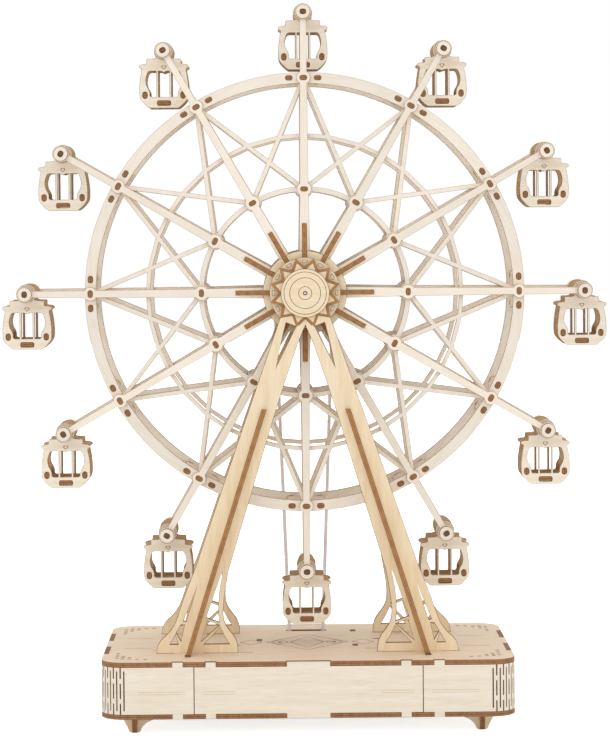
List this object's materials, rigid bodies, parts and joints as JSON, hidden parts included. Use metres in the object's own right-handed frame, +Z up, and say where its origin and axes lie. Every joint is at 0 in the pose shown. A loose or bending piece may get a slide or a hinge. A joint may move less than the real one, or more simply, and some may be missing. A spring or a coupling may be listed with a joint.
{
  "type": "crank ferris wheel toy",
  "caption": "Laser-cut plywood toy ferris wheel with hanging cars, truss rim and A-frame legs on a box base; a crank at the rear turns it through a round belt.",
  "frame": {"origin": "centre of the bounding box at the level of the surface that the feet stand on", "axes": "+X to the object's right seen from the front, +Y to the rear where the crank is, +Z up"},
  "size_m": [0.305, 0.136, 0.3608],
  "materials": {
    "plywood": "matte",
    "dowel": "matte",
    "knob": "satin",
    "steel": "satin",
    "elastic": "satin"
  },
  "bodies": {
    "base": {"bearing_plate": "plywood", "belt": "elastic", "bottom_plate": "plywood", "deck_plate": "plywood", "foot_deep_front_left": "plywood", "foot_deep_front_right": "plywood", "foot_deep_rear_left": "plywood", "foot_deep_rear_right": "plywood", "foot_wide_front_left": "plywood", "foot_wide_front_right": "plywood", "foot_wide_rear_left": "plywood", "foot_wide_rear_right": "plywood", "frame_front": "plywood", "frame_rear": "plywood", "front_cap": "plywood", "front_panel": "plywood", "left_rib": "plywood", "left_wrap": "plywood", "leg_fin_front_left": "plywood", "leg_fin_front_right": "plywood", "leg_fin_rear_left": "plywood", "leg_fin_rear_right": "plywood", "rear_panel": "plywood", "right_rib": "plywood", "right_wrap": "plywood"},
    "wheel": {"car_pins": "plywood", "end_disc_front": "plywood", "end_disc_rear": "plywood", "hub_disc_front": "plywood", "hub_disc_rear": "plywood", "hub_fins": "plywood", "inner_spacers": "plywood", "rim_spacers": "plywood", "spokes_front": "plywood", "spokes_rear": "plywood", "truss_front": "plywood", "truss_rear": "plywood", "axle": "steel", "wheel_pulley": "plywood"},
    "crank": {"crank_shaft": "dowel", "drive_pulley": "plywood", "crank_arm": "plywood", "crank_knob": "knob"},
    "car_01": {"gondola_01": "plywood"},
    "car_02": {"gondola_02": "plywood"},
    "car_03": {"gondola_03": "plywood"},
    "car_04": {"gondola_04": "plywood"},
    "car_05": {"gondola_05": "plywood"},
    "car_06": {"gondola_06": "plywood"},
    "car_07": {"gondola_07": "plywood"},
    "car_08": {"gondola_08": "plywood"},
    "car_09": {"gondola_09": "plywood"},
    "car_10": {"gondola_10": "plywood"},
    "car_11": {"gondola_11": "plywood"},
    "car_12": {"gondola_12": "plywood"}
  },
  "joints": [
    {"name": "wheel_spin", "type": "hinge", "parent": "base", "child": "wheel", "pos_m": [0, -0.008, 0.216], "axis": [0, 1, 0], "continuous": true},
    {"name": "crank_spin", "type": "hinge", "parent": "base", "child": "crank", "pos_m": [0, -0.008, 0.023], "axis": [0, 1, 0], "continuous": true},
    {"name": "car_hang_01", "type": "hinge", "parent": "wheel", "child": "car_01", "pos_m": [0, -0.008, 0.356], "axis": [0, 1, 0], "continuous": true},
    {"name": "car_hang_02", "type": "hinge", "parent": "wheel", "child": "car_02", "pos_m": [0.07, -0.008, 0.33724], "axis": [0, 1, 0], "continuous": true},
    {"name": "car_hang_03", "type": "hinge", "parent": "wheel", "child": "car_03", "pos_m": [0.12124, -0.008, 0.286], "axis": [0, 1, 0], "continuous": true},
    {"name": "car_hang_04", "type": "hinge", "parent": "wheel", "child": "car_04", "pos_m": [0.14, -0.008, 0.216], "axis": [0, 1, 0], "continuous": true},
    {"name": "car_hang_05", "type": "hinge", "parent": "wheel", "child": "car_05", "pos_m": [0.12124, -0.008, 0.146], "axis": [0, 1, 0], "continuous": true},
    {"name": "car_hang_06", "type": "hinge", "parent": "wheel", "child": "car_06", "pos_m": [0.07, -0.008, 0.09476], "axis": [0, 1, 0], "continuous": true},
    {"name": "car_hang_07", "type": "hinge", "parent": "wheel", "child": "car_07", "pos_m": [0, -0.008, 0.076], "axis": [0, 1, 0], "continuous": true},
    {"name": "car_hang_08", "type": "hinge", "parent": "wheel", "child": "car_08", "pos_m": [-0.07, -0.008, 0.09476], "axis": [0, 1, 0], "continuous": true},
    {"name": "car_hang_09", "type": "hinge", "parent": "wheel", "child": "car_09", "pos_m": [-0.12124, -0.008, 0.146], "axis": [0, 1, 0], "continuous": true},
    {"name": "car_hang_10", "type": "hinge", "parent": "wheel", "child": "car_10", "pos_m": [-0.14, -0.008, 0.216], "axis": [0, 1, 0], "continuous": true},
    {"name": "car_hang_11", "type": "hinge", "parent": "wheel", "child": "car_11", "pos_m": [-0.12124, -0.008, 0.286], "axis": [0, 1, 0], "continuous": true},
    {"name": "car_hang_12", "type": "hinge", "parent": "wheel", "child": "car_12", "pos_m": [-0.07, -0.008, 0.33724], "axis": [0, 1, 0], "continuous": true}
  ],
  "couplings": [
    {"joint": "crank_spin", "follows": "wheel_spin", "ratio": 1.878},
    {"joint": "car_hang_01", "follows": "wheel_spin", "ratio": -1},
    {"joint": "car_hang_02", "follows": "wheel_spin", "ratio": -1},
    {"joint": "car_hang_03", "follows": "wheel_spin", "ratio": -1},
    {"joint": "car_hang_04", "follows": "wheel_spin", "ratio": -1},
    {"joint": "car_hang_05", "follows": "wheel_spin", "ratio": -1},
    {"joint": "car_hang_06", "follows": "wheel_spin", "ratio": -1},
    {"joint": "car_hang_07", "follows": "wheel_spin", "ratio": -1},
    {"joint": "car_hang_08", "follows": "wheel_spin", "ratio": -1},
    {"joint": "car_hang_09", "follows": "wheel_spin", "ratio": -1},
    {"joint": "car_hang_10", "follows": "wheel_spin", "ratio": -1},
    {"joint": "car_hang_11", "follows": "wheel_spin", "ratio": -1},
    {"joint": "car_hang_12", "follows": "wheel_spin", "ratio": -1}
  ]
}
